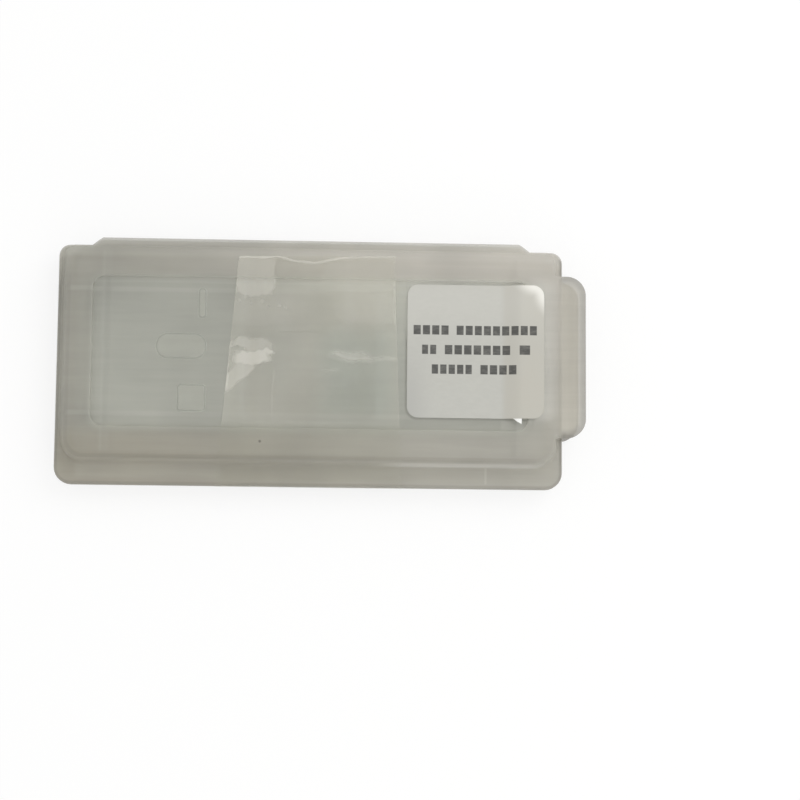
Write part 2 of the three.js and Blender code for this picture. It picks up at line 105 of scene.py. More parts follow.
def mixColour(tree, amount, first, second, blend="MIX"):
    inputs = {0: amount, 6: first, 7: second}
    return addNode(tree, "Mix", inputs, data_type="RGBA", blend_type=blend)[2]


def scaleColour(tree, colour, amount):
    inputs = {0: colour, "Scale": amount}
    return addNode(tree, "VectorMath", inputs, operation="SCALE")[0]


def noise(tree, place, scale, detail=2, roughness=0.5, stretch=(1, 1, 1)):
    spread = addNode(tree, "Mapping", {"Vector": place, "Scale": stretch})
    inputs = {"Vector": spread[0], "Scale": scale, "Detail": detail, "Roughness": roughness}
    return addNode(tree, "TexNoise", inputs)[0]


def bump(tree, height, strength, distance):
    inputs = {"Height": height, "Strength": strength, "Distance": distance}
    return addNode(tree, "Bump", inputs)[0]


def surfaceOf(tree, pattern, spec):
    # Roughness and relief that follow one noise pattern.
    return {"Roughness": vary(tree, pattern, *spec["roughness"]),
            "Normal": bump(tree, pattern, *spec["relief"])}


def mixShaders(tree, share, first, second):
    return addNode(tree, "MixShader", {0: share, 1: first, 2: second})[0]


def clearShader(tree, tint):
    return addNode(tree, "BsdfTransparent", {"Color": tint})[0]


def newMaterial(name):
    material = bpy.data.materials.new(name)
    material.use_nodes = True
    tree = material.node_tree
    place = addNode(tree, "TexCoord")["Object"]
    return material, tree, tree.nodes["Principled BSDF"], place


def splitAxes(tree, place):
    return addNode(tree, "SeparateXYZ", {0: place})


def showSurface(tree, surface):
    setInputs(tree.nodes["Material Output"], {"Surface": surface})


def finishSurface(tree, surface, shadeTint):
    # Rays on their way to a lamp only meet a plain clear tint, so they pass on unbent.
    isShadow = addNode(tree, "LightPath")["Is Shadow Ray"]
    showSurface(tree, mixShaders(tree, isShadow, surface, clearShader(tree, shadeTint)))


def finishClear(tree, surface, share, spec):
    # The share of the light passes straight on.
    surface = mixShaders(tree, share, surface, clearShader(tree, spec["clearTint"]))
    finishSurface(tree, surface, spec["shadeTint"])


def lineMask(tree, value, middle, half, soft):
    # 1 within half of a line, falling to 0 over the soft distance.
    return ramp(tree, awayFrom(tree, value, middle), half, half + soft, 1, 0)


def boxMask(tree, axes, low, high, soft):
    # 1 inside an upright box in X and Y, falling to 0 over the soft distance round it.
    masks = [lineMask(tree, axis, (start + end) / 2, (end - start) / 2, soft)
             for axis, start, end in zip(axes[:2], low, high)]
    return product(tree, *masks)


def areaMask(tree, axes, box=None, along=None, across=None, up=None):
    # The product of a box mask and of ramps along X, Y and Z, as far as they are given.
    masks = [boxMask(tree, axes, *box)] if box else []
    masks += [ramp(tree, axis, *span) for axis, span in zip(axes, (along, across, up)) if span]
    return product(tree, *masks)


def roundBoxDistance(tree, axes, low, high, corner):
    # Distance in X and Y to the outline of a box with round corners, less than 0 inside it. With q
    # as how far a point is out from the corner circles' middles along each axis, it is the length
    # of the part of q above 0, plus its larger side where both are below, less the corner.
    q = []
    for axis, start, end in zip(axes[:2], low, high):
        away = awayFrom(tree, axis, (start + end) / 2)
        q.append(calc(tree, "SUBTRACT", away, (end - start) / 2 - corner))
    squares = [calc(tree, "POWER", calc(tree, "MAXIMUM", part, 0), 2) for part in q]
    beyond = calc(tree, "SQRT", calc(tree, "ADD", *squares))
    within = calc(tree, "MINIMUM", calc(tree, "MAXIMUM", *q), 0)
    return calc(tree, "SUBTRACT", calc(tree, "ADD", beyond, within), corner)


# The case's milky polypropylene, with a painted light gradient: border, rim and field are paler
# towards the tabs, the border also towards the hinge. Here and below a box is its low and high corner
# in X and Y and its softness, a line its middle, half width and softness, a ramp where it starts and
# ends and, unless they are 0 and 1, its values there, a noise its scale, detail, roughness and
# stretch, and a relief its strength and height.
casePlastic = dict(
    borderFar=(0.58, 0.568, 0.508, 1),  # the face's border and the rim, at the end without tabs
    borderTab=(0.78, 0.753, 0.695, 1),  # and at the tab end, by the hinge
    lightAlong=(caseLow.x, caseHigh.x - 14 * mm),
    lightAcross=(caseLow.y, caseHigh.y, 0.22, 1),
    tabRoot=(0.7, 0.675, 0.605, 1),  # the tabs, next to the rim
    tabs=(0.65, 0.625, 0.555, 1),  # and at their ends
    tabStart=(rimEnd - 0.6 * mm, rimEnd),
    tabChange=(rimEnd, rimEnd + 1.4 * mm),  # from the one colour to the other
    field=(0.645, 0.642, 0.582, 1),  # the thinner recessed field, at the end without tabs
    fieldTab=(0.755, 0.75, 0.68, 1),  # and at the tab end
    fieldCorner=1.6 * mm,
    fieldFade=(-0.7 * mm, 1.3 * mm, 1, 0),  # by the distance to the field's outline
    coolTint=(0.95, 0.995, 1, 1),  # of the field beside the label
    coolBox=((2 * mm, slideLow.y + 5 * mm), (9 * mm, slideHigh.y - 12 * mm), 5 * mm),
    # The field is a little paler towards two opposite corners, and darker towards the other two.
    slant=dict(along=(-12 * mm, 8 * mm, -0.45, 1),
               across=(slideLow.y + 4 * mm, slideHigh.y - 3 * mm, -0.1, 0.1)),
    frontTint=(1.015, 0.99, 0.945, 1),  # of the front border, away from the tabs
    frontAcross=(slideLow.y + 2 * mm, slideLow.y - 2 * mm),
    # A pale band along the face's edge by the hinge, and painted light along the cove, where it would lie
    # in shade.
    pale=(0.92, 0.91, 0.86, 1),  # also of the rails and cross ribs inside, which show through
    bandShow=0.16,
    hingeBand=(caseHigh.y - 2.9 * mm, 0.3 * mm, 0.8 * mm),
    hingeBandAlong=(-30 * mm, 5 * mm, 1, 1.8),
    coveLightBand=((caseLow.x + 4 * mm, caseLow.y + 1.8 * mm),
              (caseLow.x + 26 * mm, caseLow.y + 3 * mm), 1.2 * mm),
    # The field's wall is painted lighter along the hinge and at the tab end, painted light where it would
    # lie in shade.
    wallFoot=(fieldFloor - 0.15 * mm, fieldFloor + 0.1 * mm, 0, 0.5),
    wallTop=(faceTop - 0.12 * mm, faceTop - 0.02 * mm, 1, 0),
    sideWallLight=dict(box=((fieldLow[0], fieldHigh[1] - 0.8 * mm),
                       (fieldHigh[0], fieldHigh[1] + 0.2 * mm), 0.3 * mm),
                  along=(labelLow.x - 1 * mm, labelLow.x + 1 * mm, 1, 1.8)),
    sideWallPale=(0, 0.5, 0.5, 1),  # by how far the border has changed to its paler colour
    endWallLight=((fieldHigh[0] - 1.6 * mm, fieldLow[1] - 0.6 * mm),
             (fieldHigh[0] + 0.8 * mm, fieldHigh[1]), 0.4 * mm),
    # Rails and cross ribs, by their distance from the slide's middle.
    rail=(slideHigh.y - slideMiddle.y - 2.9 * mm, 0.15 * mm, 0.45 * mm),
    railAlong=(38.5 * mm, 39.5 * mm, 0.22, 0),
    crossRib=(slideHigh.x - slideMiddle.x - 5 * mm, 0.4 * mm, 0.9 * mm),
    crossRibLine=(slideHigh.x - slideMiddle.x - 4.55 * mm, 0.05 * mm, 0.3 * mm),
    lineShow=0.7,
    crossRibAcross=(15.8 * mm, 16.8 * mm, 0.09, 0),
    crossRibAlong=(0, 10 * mm, 1, 0.25),  # by X itself: the rib at the tab end is fainter
    # Outlines of the face and of the rim, by low and high corner and corner radius. A painted highlight
    # and painted shade lines run along them: how far outside the outline, half width, softness and
    # strength.
    face=((caseLow.x + 1.2 * mm, caseLow.y + 3.7 * mm),
          (rimEnd - 1.2 * mm, caseHigh.y - 1.9 * mm), 3.6 * mm),
    rim=((caseLow.x, caseLow.y), (rimEnd, caseHigh.y - 1.45 * mm), 2.7 * mm),
    # Painted highlight of the face's edge, also of the flow line.
    edgeLight=(1, 0.99, 0.95, 1),
    paintedShade=(0.3, 0.29, 0.26, 1),  # painted shade, also of the painted shadow beside the label
    faceHighlight=(0.1 * mm, 0.05 * mm, 0.3 * mm, 0.62),
    faceShade=(-0.7 * mm, 0.2 * mm, 0.3 * mm, 0.17),
    rimShade=(-0.05 * mm, 0.28 * mm, 0.3 * mm, 0.32),
    shine=dict(along=(slideMiddle.x + 9 * mm, slideMiddle.x + 16 * mm),
               across=(slideLow.y - 2 * mm, slideLow.y + 3 * mm, 1, 0.06)),
    cornerAlong=(caseHigh.x - 9.5 * mm, caseHigh.x - 5.5 * mm, 1, 0.2),
    hingeAcross=(slideHigh.y - 3 * mm, slideHigh.y, 1, 0.1),
    # No line shows where the tab grows out of the rim.
    joint=((tabHigh[0] - 7 * mm, tabLow[1] + 1.2 * mm), (tabHigh[0], tabHigh[1] - 1.2 * mm), 0.8 * mm),
    # A short pale flow line across the front rim.
    flowBox=((slideMiddle.x + 28.5 * mm, caseLow.y + 0.8 * mm),
             (slideMiddle.x + 28.6 * mm, caseLow.y + 3.2 * mm), 0.25 * mm),
    flowShow=0.22,
    # The tab's root is a thicker web, painted paler, which is also painted light over the shade beside the
    # label; its edges get painted shade and its foot a painted shadow.
    root=dict(box=((tabHigh[0] - 8 * mm, tabLow[1] + 4.6 * mm),
                   (tabHigh[0], tabHigh[1] - 2.2 * mm), 3 * mm),
              along=(labelHigh.x, tabHigh[0] - 3.4 * mm, 0.75, 0)),
    tabCorner=3.1 * mm,
    tabEdge=(-1.6 * mm, -0.3 * mm, 0, 0.58),  # by the distance to the tab's outline
    tabFootShadow=((rimEnd, tabLow[1] - 0.2 * mm), (rimEnd + 1.6 * mm, tabLow[1] + 0.4 * mm), 0.5 * mm),
    tabFootShadowShow=0.75,
    # Painted light on the field's wall where the label's front end has come away from it, over the shade
    # beneath.
    under=((labelHigh.x - 6.6 * mm, labelLow.y - 1.6 * mm),
           (labelHigh.x - 3 * mm, labelLow.y + 1 * mm), 0.6 * mm),
    underShow=0.95,
    # A painted shadow beside the label, along its outline moved out to the front and away from the tabs.
    labelShadowShift=0.14 * mm,
    labelShadowLine=(0, 0.05 * mm, 0.3 * mm),
    labelShadowArea=dict(along=(labelHigh.x - 2.2 * mm, labelHigh.x - 0.9 * mm, 1, 0),
                  across=(labelHigh.y - 11 * mm, labelHigh.y - 4 * mm, 1, 0.15),
                  up=(fieldFloor - 0.4 * mm, fieldFloor - 0.2 * mm)),
    labelShadowShow=0.38,
    dirt=(0.05, 0.05, 0.045, 1),
    speck=(slideMiddle.x - 8 * mm, slideMiddle.y - 14.4 * mm, faceTop),  # a grain of dirt
    speckSize=(0.06 * mm, 0.34 * mm, 0.72, 0),
    hinge=(0.685, 0.672, 0.622, 1),  # the thin hinge web, at the end without tabs
    hingeTab=(0.765, 0.75, 0.7, 1),  # and at the tab end
    hingeChange=(6 * mm, 16 * mm),
    hingeStart=(caseHigh.y - 1.9 * mm, caseHigh.y - 1 * mm),
    cloud=(70, 2),
    cloudShade=(0.95, 1.05),
    streak=(60, 3, 0.6, (1, 14, 14)),
    streakShade=(0.974, 1.026),
    waves=(45, 1, 0.4, (1, 3, 1)),
    waveHeight=0.15 * mm,
    grain=(1600, 1),
    grainHeight=0.003 * mm,
    roughness=(0.36, 0.48),
    ior=1.49,
    soak=0.45,  # share of the light that soaks through each skin
    clear=0.42,  # share that passes straight on
    clearTint=(0.97, 0.97, 0.97, 1),
    shadeTint=(0.4074, 0.4074, 0.4074, 1),  # of the light in its shadow: clear times clearTint
)


def paintBody(tree, axes, along, spec):
    # Border and rim, then the tabs and the recessed field over them.
    # Painted light: paler towards the tabs and, on the border, towards the hinge.
    paintedLightTowardTabs = product(tree, ramp(tree, axes[1], *spec["lightAcross"]), along)
    colour = mixColour(tree, paintedLightTowardTabs, spec["borderFar"], spec["borderTab"])
    tabs = mixColour(tree, ramp(tree, axes[0], *spec["tabChange"]), spec["tabRoot"], spec["tabs"])
    colour = mixColour(tree, ramp(tree, axes[0], *spec["tabStart"]), colour, tabs)
    field = mixColour(tree, along, spec["field"], spec["fieldTab"])
    field = mixColour(tree, boxMask(tree, axes, *spec["coolBox"]), field, spec["coolTint"], "MULTIPLY")
    field = scaleColour(tree, field, calc(tree, "ADD", areaMask(tree, axes, **spec["slant"]), 1))
    outline = roundBoxDistance(tree, axes, fieldLow, fieldHigh, spec["fieldCorner"])
    colour = mixColour(tree, ramp(tree, outline, *spec["fieldFade"]), colour, field)
    front = product(tree, ramp(tree, axes[1], *spec["frontAcross"]), calc(tree, "SUBTRACT", 1, along))
    return mixColour(tree, front, colour, spec["frontTint"], "MULTIPLY")


def paintBands(tree, axes, colour, along, wall, spec):
    hinge = lineMask(tree, axes[1], *spec["hingeBand"])
    hinge = product(tree, hinge, ramp(tree, axes[0], *spec["hingeBandAlong"]))
    # The cove's band is painted light over its shade.
    bands = calc(tree, "MAXIMUM", hinge, boxMask(tree, axes, *spec["coveLightBand"]))
    colour = mixColour(tree, product(tree, bands, spec["bandShow"]), colour, spec["pale"])
    # Painted light on the field's wall along the hinge and at the tab end.
    side = product(tree, areaMask(tree, axes, **spec["sideWallLight"]), ramp(tree, along, *spec["sideWallPale"]))
    walls = calc(tree, "MAXIMUM", side, boxMask(tree, axes, *spec["endWallLight"]))
    return mixColour(tree, product(tree, wall, walls), colour, spec["pale"])


def paintInside(tree, axes, colour, spec):
    # Rails and cross ribs are mirrored about the slide's middle, so one distance serves both.
    along = awayFrom(tree, axes[0], slideMiddle.x)
    across = awayFrom(tree, axes[1], slideMiddle.y)
    rails = product(tree, lineMask(tree, across, *spec["rail"]), ramp(tree, along, *spec["railAlong"]))
    # A cross rib's foot shows as a soft band with a finer line along its outer side.
    crossRibs, line = (lineMask(tree, along, *spec[part]) for part in ("crossRib", "crossRibLine"))
    crossRibs = calc(tree, "MULTIPLY_ADD", line, spec["lineShow"], crossRibs)
    crossRibs = product(tree, crossRibs, ramp(tree, axes[0], *spec["crossRibAlong"]),
                        ramp(tree, across, *spec["crossRibAcross"]))
    return mixColour(tree, calc(tree, "MAXIMUM", rails, crossRibs), colour, spec["pale"])


def paintEdges(tree, axes, colour, spec):
    face = roundBoxDistance(tree, axes, *spec["face"])
    rim = roundBoxDistance(tree, axes, *spec["rim"])
    # A painted highlight runs along the face's front edge, from under the label to the tab.
    corner = ramp(tree, axes[0], *spec["cornerAlong"])
    apart = calc(tree, "SUBTRACT", 1, boxMask(tree, axes, *spec["joint"]))
    apart = product(tree, apart, ramp(tree, axes[1], *spec["hingeAcross"]))
    shine = product(tree, areaMask(tree, axes, **spec["shine"]), corner, apart)
    # Painted highlight and painted shade along the face's edge, and painted shade round the rim.
    lines = [("faceHighlight", face, shine, "edgeLight"),
             ("faceShade", face, product(tree, corner, apart), "paintedShade"),
             ("rimShade", rim, apart, "paintedShade")]
    for name, outline, share, paint in lines:
        out, half, soft, strength = spec[name]
        line = product(tree, lineMask(tree, outline, out, half, soft), strength, share)
        colour = mixColour(tree, line, colour, spec[paint])
    flow = product(tree, boxMask(tree, axes, *spec["flowBox"]), spec["flowShow"])
    return mixColour(tree, flow, colour, spec["edgeLight"])


def paintTab(tree, axes, colour, spec):
    # Painted light at the tab's root, then painted shade along its edges and a painted shadow at its foot.
    colour = mixColour(tree, areaMask(tree, axes, **spec["root"]), colour, spec["pale"])
    outline = roundBoxDistance(tree, axes, tabLow, tabHigh, spec["tabCorner"])
    outer = product(tree, ramp(tree, outline, *spec["tabEdge"]), ramp(tree, axes[0], *spec["tabStart"]))
    foot = product(tree, boxMask(tree, axes, *spec["tabFootShadow"]), spec["tabFootShadowShow"])
    return mixColour(tree, calc(tree, "MAXIMUM", outer, foot), colour, spec["paintedShade"])


def paintLabelLightAndShadow(tree, axes, colour, wall, spec):
    # Painted light under the label's lifted front end.
    under = product(tree, boxMask(tree, axes, *spec["under"]), wall, spec["underShow"])
    colour = mixColour(tree, under, colour, spec["pale"])
    # Painted shadow beside the label.
    low, high = ([side - spec["labelShadowShift"] for side in corner[:2]] for corner in (labelLow, labelHigh))
    dust = lineMask(tree, roundBoxDistance(tree, axes, low, high, labelCorner), *spec["labelShadowLine"])
    dust = product(tree, dust, areaMask(tree, axes, **spec["labelShadowArea"]), spec["labelShadowShow"])
    return mixColour(tree, dust, colour, spec["paintedShade"])


def makeCasePlastic(spec):
    material, tree, shader, place = newMaterial("milkyPolypropylene")
    axes = splitAxes(tree, place)
    along = ramp(tree, axes[0], *spec["lightAlong"])
    wall = product(tree, ramp(tree, axes[2], *spec["wallFoot"]), ramp(tree, axes[2], *spec["wallTop"]))
    colour = paintBody(tree, axes, along, spec)
    colour = paintBands(tree, axes, colour, along, wall, spec)
    colour = paintInside(tree, axes, colour, spec)
    colour = paintEdges(tree, axes, colour, spec)
    colour = paintTab(tree, axes, colour, spec)
    colour = paintLabelLightAndShadow(tree, axes, colour, wall, spec)
    away = addNode(tree, "VectorMath", {0: place, 1: spec["speck"]}, operation="DISTANCE")
    colour = mixColour(tree, ramp(tree, away["Value"], *spec["speckSize"]), colour, spec["dirt"])
    hinge = mixColour(tree, ramp(tree, axes[0], *spec["hingeChange"]), spec["hinge"], spec["hingeTab"])
    colour = mixColour(tree, ramp(tree, axes[1], *spec["hingeStart"]), colour, hinge)

    cloud, streak, waves, grain = (noise(tree, place, *spec[part])
                                   for part in ("cloud", "streak", "waves", "grain"))
    shade = product(tree, vary(tree, cloud, *spec["cloudShade"]), vary(tree, streak, *spec["streakShade"]))
    colour = scaleColour(tree, colour, shade)
    height = product(tree, waves, spec["waveHeight"])
    skin = bump(tree, calc(tree, "MULTIPLY_ADD", grain, spec["grainHeight"], height), 1, 1)
    setInputs(shader, {
        "Base Color": colour, "Roughness": vary(tree, cloud, *spec["roughness"]), "Normal": skin,
        "IOR": spec["ior"]})
    soak = addNode(tree, "BsdfTranslucent", {"Color": colour, "Normal": skin})[0]
    finishClear(tree, mixShaders(tree, spec["soak"], shader.outputs[0], soak), spec["clear"], spec)
    return material


# The glass slide and its cover glass, with smears that dull them.
glass = dict(
    slide=((0.9, 0.955, 0.93, 1), 0.03, 0.1),  # tint, roughness and dust
    cover=((0.985, 0.995, 0.99, 1), 0.02, 0.06),
    dustColour=(0.75, 0.76, 0.74, 1),
    smear=(240, 5, 0.6),
    smearDust=(0.35, 0.75),  # the smears' range from clean to dusty
    smearRough=(0.4, 0.8),  # and from smooth to rough
    rougher=0.12,
    ior=1.52,
)


def makeGlass(name, tint, roughness, dust, spec):
    material, tree, shader, place = newMaterial(name)
    smear = noise(tree, place, *spec["smear"])
    colour = mixColour(tree, ramp(tree, smear, *spec["smearDust"], 0, dust), tint, spec["dustColour"])
    rough = ramp(tree, smear, *spec["smearRough"], roughness, roughness + spec["rougher"])
    setInputs(shader, {
        "Base Color": colour, "Roughness": rough, "IOR": spec["ior"], "Transmission Weight": 1})
    finishSurface(tree, shader.outputs[0], tint)
    return material


# A thin amber layer between two glasses. It doesn't bend light, as glass and resin are alike.
resin = dict(
    deep=(0.8, 0.7, 0.42, 1),
    pale=(0.88, 0.8, 0.55, 1),
    clear=0.95,  # share of the light that passes
    clearTint=(0.985, 0.965, 0.88, 1),
    shadeTint=(0.985, 0.965, 0.88, 1),
    flow=(160, 3),
    relief=(0.2, 0.05 * mm),
    roughness=(0.1, 0.25),
    ior=1.52,
)


def makeResin(spec):
    material, tree, shader, place = newMaterial("mountingResin")
    flow = noise(tree, place, *spec["flow"])
    setInputs(shader, {
        "Base Color": mixColour(tree, vary(tree, flow), spec["deep"], spec["pale"]), "IOR": spec["ior"],
        **surfaceOf(tree, flow, spec)})
    finishClear(tree, shader.outputs[0], spec["clear"], spec)
    return material


# Two leaf skins one cell thick, so most light passes them.
leafSkin = dict(
    monocot=((0.5, 0.74, 0.44, 1), (0.34, 0.56, 0.28, 1), 13000),  # pale, dark and scale of the cells
    dicot=((0.42, 0.72, 0.5, 1), (0.24, 0.48, 0.3, 1), 11000),
    cellWall=(0.02, 0.1, 1, 0),  # by the distance to a cell's edge
    vein=(700, 4, 0.6, (1, 0.2, 1)),
    veinRange=(0.35, 0.65),
    relief=(0.1, 0.005 * mm),
    roughness=0.55,
    clear=0.82,
    clearTint=(0.94, 1, 0.94, 1),
    shadeTint=(0.92, 0.96, 0.91, 1),
)


def makeLeafSkin(name, pale, dark, cellScale, spec):
    material, tree, shader, place = newMaterial(name)
    cells = addNode(tree, "TexVoronoi", {"Vector": place, "Scale": cellScale},
                    feature="DISTANCE_TO_EDGE")[0]
    walls = ramp(tree, cells, *spec["cellWall"])
    vein = noise(tree, place, *spec["vein"])
    colour = mixColour(tree, ramp(tree, vein, *spec["veinRange"]), pale, dark)
    setInputs(shader, {
        "Base Color": mixColour(tree, walls, colour, dark), "Roughness": spec["roughness"],
        "Normal": bump(tree, walls, *spec["relief"])})
    finishClear(tree, shader.outputs[0], spec["clear"], spec)
    return material


finishes = {
    "slide_case": makeCasePlastic(casePlastic),
    "glass_slide": makeGlass("slideGlass", *glass["slide"], glass),
    "cover_glass": makeGlass("coverGlass", *glass["cover"], glass),
    "mounting_resin": makeResin(resin),
    "monocot_epidermis": makeLeafSkin("monocotSkin", *leafSkin["monocot"], leafSkin),
    "dicot_epidermis": makeLeafSkin("dicotSkin", *leafSkin["dicot"], leafSkin),
}
for name, finish in finishes.items():
    nodes[name].data.materials.clear()
    nodes[name].data.materials.append(finish)
print("finishes for", len(finishes), "frame nodes")


# Helpers for new pieces.
def addObject(name, data):
    thing = bpy.data.objects.new(name, data)
    bpy.context.scene.collection.objects.link(thing)
    return thing


def addPiece(name, points, faces, smooth, attributes=()):
    # Smooth holds a flag for each face, an attribute a value for each point.
    mesh = bpy.data.meshes.new(name)
    mesh.from_pydata(points.tolist(), [], faces)
    for key, values in dict(attributes).items():
        attribute = mesh.attributes.new(key, "FLOAT", "POINT")
        attribute.data.foreach_set("value", values.astype(np.float32))
    mesh.polygons.foreach_set("use_smooth", smooth)
    mesh.update()
    return addObject(name, mesh)


def makeSheet(name, upper, lower, attributes=()):
    # A closed thin sheet: two grids of points, for its upper and lower face, and walls between them.
    rows, columns = upper.shape[:2]
    count = rows * columns
    index = np.arange(count).reshape(rows, columns)
    top = np.stack([index[:-1, :-1], index[:-1, 1:], index[1:, 1:], index[1:, :-1]], -1).reshape(-1, 4)
    bottom = top[:, ::-1] + count
    ring = np.concatenate([index[0, :-1], index[:-1, -1], index[-1, :0:-1], index[:0:-1, 0]])
    after = np.roll(ring, -1)
    side = np.stack([ring, ring + count, after + count, after], -1)
    faces = np.concatenate([top, bottom, side]).tolist()
    points = np.concatenate([upper.reshape(-1, 3), lower.reshape(-1, 3)])
    both = {key: np.tile(values.ravel(), 2) for key, values in dict(attributes).items()}
    return addPiece(name, points, faces, [True] * len(faces), both)


def smoothStep(value, low, high):
    # With part as the share of the way from low to high: three times its square, less twice its cube.
    part = np.clip((value - low) / (high - low), 0, 1)
    return part * part * (3 - 2 * part)


# Three low pads on the field's floor, at the end without tabs. Each is a round-cornered outline that
# is drawn in ring by ring while it rises.
lidPads = dict(
    # Low and high corner from the slide's middle and corner radius, all in millimetres.
    outlines=[(-25.1, -1.3, -16.7, 3.2, 2.1), (-18.4, 5.4, -16.8, 10.6, 0.75),
              (-21.6, -9.8, -16.7, -5.1, 0.75)],
    height=0.12 * mm,
    foot=0.03 * mm,  # how far the pad's base is sunk in the lid
    slope=0.55 * mm,  # width of the slope round a pad
    points=96,
    rings=12,
    deep=(0.7, 0.71, 0.66, 1),
    pale=(0.76, 0.77, 0.72, 1),
    slopeColour=(0.34, 0.35, 0.31, 1),
    clear=(0.88, 0.55),  # share of the light that passes straight on, on top and on the slope
    clearTint=(0.99, 0.99, 0.98, 1),
    shadeTint=(0.93, 0.93, 0.92, 1),
    cloud=(300, 2),
    relief=(0.15, 0.05 * mm),
    roughness=(0.34, 0.44),
)


def makePads(spec):
    # A point of an outline: the corner circle's point at an angle, moved out to the middle of the
    # corner on its side. A ring is drawn in by d, and stands at the height times a smooth step of d.
    count = spec["points"]
    angle = (np.arange(count) + 0.5) * 2 * np.pi / count
    part = np.linspace(0, 1, spec["rings"])
    drawnIn = part * spec["slope"]
    rise = smoothStep(part, 0, 1) * spec["height"]
    steep = np.concatenate([[0], np.sin(np.pi * part) ** 2])
    points, faces = [], []
    for x0, y0, x1, y1, corner in spec["outlines"]:
        middle = np.array(slideMiddle[:2]) + np.array([x0 + x1, y0 + y1]) / 2 * mm
        straight = np.array([x1 - x0, y1 - y0]) / 2 * mm - corner * mm
        radius = corner * mm - drawnIn[:, None]
        x = middle[0] + np.sign(np.cos(angle)) * straight[0] + radius * np.cos(angle)
        y = middle[1] + np.sign(np.sin(angle)) * straight[1] + radius * np.sin(angle)
        z = np.repeat(rise[:, None], count, 1)
        foot = np.stack([x[0], y[0], np.full(count, -spec["foot"])], -1)
        rings = np.concatenate([foot[None], np.stack([x, y, z], -1)])
        index = len(points) * len(steep) * count + np.arange(len(steep) * count).reshape(-1, count)
        after = np.roll(index, -1, axis=1)
        sides = np.stack([index[:-1], after[:-1], after[1:], index[1:]], -1).reshape(-1, 4)
        faces += sides.tolist() + [index[0, ::-1].tolist(), index[-1].tolist()]
        points.append(rings.reshape(-1, 3) + np.array([0, 0, fieldFloor]))
    slope = np.tile(np.repeat(steep, count), len(points))
    smooth = [len(face) == 4 for face in faces]
    return addPiece("lidPads", np.concatenate(points), faces, smooth, {"slope": slope})


def makePadPlastic(spec):
    # Like the lid's plastic, but the slopes turn light away and look darker.
    material, tree, shader, place = newMaterial("padPolypropylene")
    slope = addNode(tree, "Attribute", attribute_name="slope")["Fac"]
    cloud = noise(tree, place, *spec["cloud"])
    flat = mixColour(tree, vary(tree, cloud), spec["deep"], spec["pale"])
    setInputs(shader, {
        "Base Color": mixColour(tree, slope, flat, spec["slopeColour"]), "IOR": casePlastic["ior"],
        **surfaceOf(tree, cloud, spec)})
    finishClear(tree, shader.outputs[0], ramp(tree, slope, 0, 1, *spec["clear"]), spec)
    return material


pads = makePads(lidPads)
pads.data.materials.append(makePadPlastic(lidPads))
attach(pads, "root")
print("lid pads made,", len(pads.data.polygons), "faces")


# The paper label. Its three lines of print are plain bars.
labelSheet = dict(
    thickness=0.1 * mm,
    clearance=0.005 * mm,  # from what it is stuck to
    rows=120,
    columns=160,
    liftStart=7.2 * mm,  # from the label's tab end to where it leaves the field's floor
    liftEnd=3.5 * mm,  # and to where it reaches the face
    wave=0.015 * mm,
    slantWave=(520, 130),  # radians per metre along X and Y
    crossWave=(410, 1.3),  # along Y, and its start
    paper=[(0.505, 0.502, 0.457, 1), (0.532, 0.528, 0.482, 1)],
    # Painted shade: darker and warmer from where the label tilts up to the face.
    tiltShadeColour=(0.515, 0.498, 0.438, 1),  # where it lies on the face
    tiltShadeAlong=(labelHigh.x - 7 * mm, labelHigh.x - 6 * mm),
    cloudColour=(0.5, 0.5, 0.465, 1),
    cloud=(110, 2),
    cloudRange=(0.35, 0.65, 0, 0.25),
    # Its free corner by the tab and the hinge curls up; a painted highlight stands for the light it
    # catches.
    curlHighlightColour=(1, 0.98, 0.91, 1),
    curlHighlightIn=(-2.4 * mm, -0.3 * mm),  # by the distance to the label's outline
    curlHighlightAcross=(-5.6 * mm, -1.8 * mm),  # by X plus Y, from their sum at the corner
    # Painted shade towards the corner away from the tab and the hinge, and painted light towards the hinge.
    dimColour=(0.455, 0.452, 0.42, 1),  # at the opposite corner
    dim=dict(along=(labelLow.x, labelLow.x + 5 * mm, 1, 0),
             across=(labelLow.y + 2 * mm, labelMiddle.y + 4 * mm, 1, 0)),
    shineColour=(0.62, 0.61, 0.56, 1),
    shineAcross=(labelMiddle.y, labelHigh.y - 2 * mm, 0, 0.35),
    # Print as plain short bars: each line's height over the label's middle, then its groups'
    # starts and ends in millimetres, and how many bars a group has.
    print=[
        (3.45, [(-10.1, -4.4, 4), (-3.1, 9.9, 9)]),
        (0.25, [(-8.7, -6.4, 2), (-5, 5.6, 7), (7.1, 8.8, 1)]),
        (-2.95, [(-7.1, -0.6, 5), (0.8, 6.6, 4)]),
    ],
    barHeight=1.45 * mm,
    barGap=0.34 * mm,
    inkSoft=0.07 * mm,
    ink=(0.035, 0.035, 0.032, 1),
    inkCover=(0.25, 0.6, 0.78, 0.92),  # by the paper's fibres
    fibre=(900, 4, 0.6, (1, 2.2, 1)),
    relief=(0.12, 0.02 * mm),
    roughness=(0.42, 0.55),
    shadeTint=(0.5, 0.5, 0.48, 1),
)


def labelHeight(x, spec):
    # The label lies on the field's floor and rises to the face by a smooth step near the tab.
    lift = smoothStep(x, labelHigh.x - spec["liftStart"], labelHigh.x - spec["liftEnd"])
    return lift, fieldFloor + spec["clearance"] + (faceTop - fieldFloor) * lift


